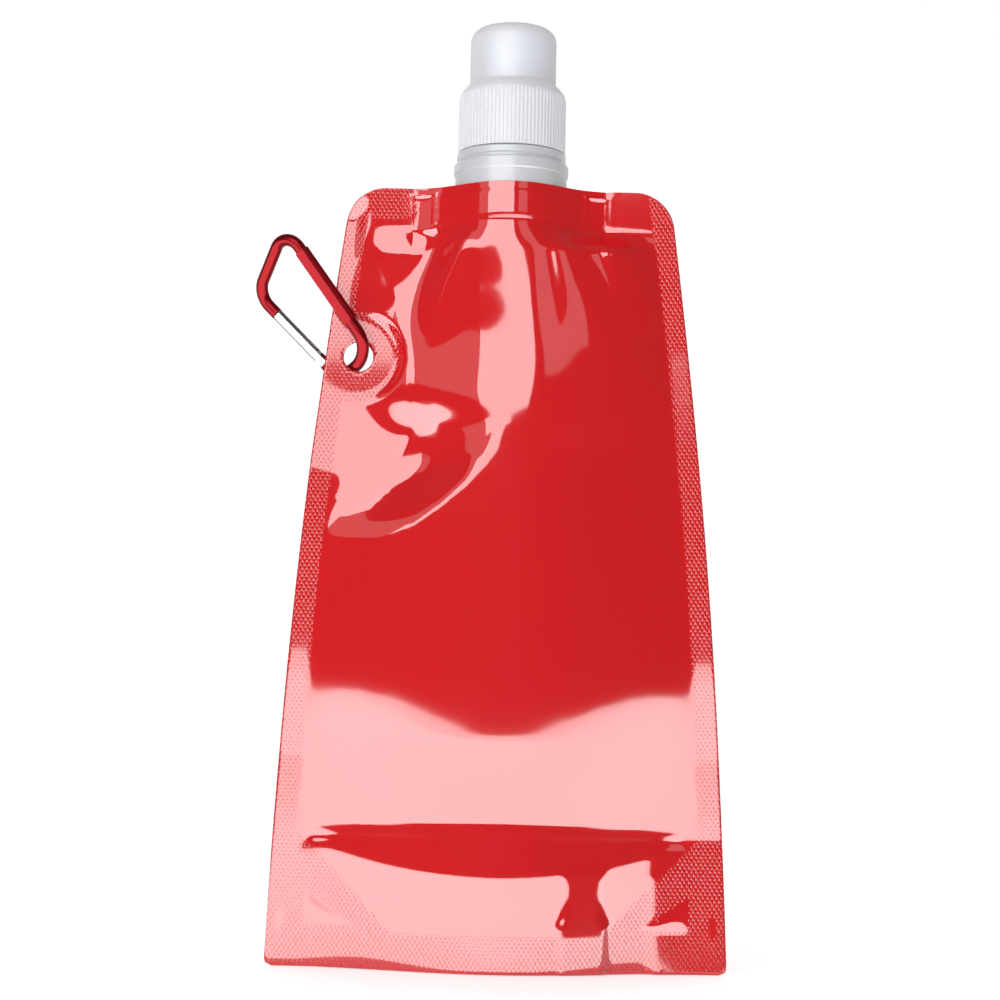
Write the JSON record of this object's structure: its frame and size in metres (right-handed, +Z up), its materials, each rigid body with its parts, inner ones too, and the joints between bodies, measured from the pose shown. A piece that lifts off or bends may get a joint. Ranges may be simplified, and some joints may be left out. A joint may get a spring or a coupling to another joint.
{
  "type": "folding water bottle",
  "caption": "Flexible stand-up drinking pouch with a moulded spout, a ribbed screw cap, a push-pull nozzle under a dust cap, and a snap carabiner at one edge.",
  "frame": {"origin": "on the bag's centre line, in the plane of the side seals, at the level of the hem's lower edge", "axes": "+Z up through the spout, -Y out of the front face, +X to the right seen from the front, away from the carabiner"},
  "size_m": [0.1342, 0.0408, 0.2612],
  "materials": {
    "red_film": "glossy printed laminate film",
    "natural_ldpe": "translucent natural moulded polyethylene",
    "white_pp": "white moulded polypropylene",
    "clear_pp": "frosted translucent polypropylene",
    "pe_foam": "expanded polyethylene foam",
    "anodised_red": "bright red anodised aluminium",
    "bare_aluminium": "tumbled natural aluminium",
    "steel": "bright steel"
  },
  "bodies": {
    "lower_pouch": {"front_panel_lower": "red_film", "back_panel_lower": "red_film", "bottom_gusset": "red_film"},
    "upper_pouch": {"front_panel_upper": "red_film", "back_panel_upper": "red_film", "spout": "natural_ldpe"},
    "cap_seal": {"cap_liner": "pe_foam"},
    "cap": {"screw_cap": "white_pp"},
    "nozzle": {"pull_nozzle": "white_pp"},
    "dust_cover": {"dust_cap": "clear_pp"},
    "carabiner": {"carabiner_frame": "anodised_red", "gate_rivet": "bare_aluminium"},
    "gate": {"carabiner_gate": "bare_aluminium", "gate_spring": "steel"},
    "plunger": {"gate_plunger": "steel"}
  },
  "joints": [
    {"name": "pouch_fold", "type": "hinge", "parent": "lower_pouch", "child": "upper_pouch", "pos_m": [0, 0.0209, 0.105], "axis": [-1, 0, 0], "range_deg": [0, 90]},
    {"name": "cap_rise", "type": "slide", "parent": "upper_pouch", "child": "cap_seal", "axis": [0, 0, 1], "range_m": [0, 0.016]},
    {"name": "cap_turn", "type": "hinge", "parent": "cap_seal", "child": "cap", "pos_m": [0, 0, 0.24], "axis": [0, 0, 1], "range_deg": [0, 1440]},
    {"name": "nozzle_pull", "type": "slide", "parent": "cap", "child": "nozzle", "axis": [0, 0, 1], "range_m": [0, 0.0025]},
    {"name": "dust_cap_lift", "type": "slide", "parent": "cap", "child": "dust_cover", "axis": [0, 0, 1], "range_m": [0, 0.025]},
    {"name": "carabiner_swing", "type": "hinge", "parent": "upper_pouch", "child": "carabiner", "pos_m": [-0.0413, 0, 0.168], "axis": [0, -1, 0], "range_deg": [-20, 110]},
    {"name": "gate_open", "type": "hinge", "parent": "carabiner", "child": "gate", "pos_m": [-0.05184, 0.00677, 0.16776], "axis": [0.4981, 0.788, 0.3619], "range_deg": [0, 28], "stiffness_Nm_per_rad": 0.005, "springref_deg": -17.19},
    {"name": "plunger_push", "type": "slide", "parent": "gate", "child": "plunger", "axis": [-0.6986, 0.1175, 0.7058], "range_m": [0, 0.000597], "deforming": ["gate_spring"]}
  ],
  "couplings": [
    {"joint": "cap_turn", "follows": "cap_rise", "rad_per_m": 1570.8},
    {"joint": "gate_open", "follows": "plunger_push", "rad_per_m": 818.33}
  ]
}
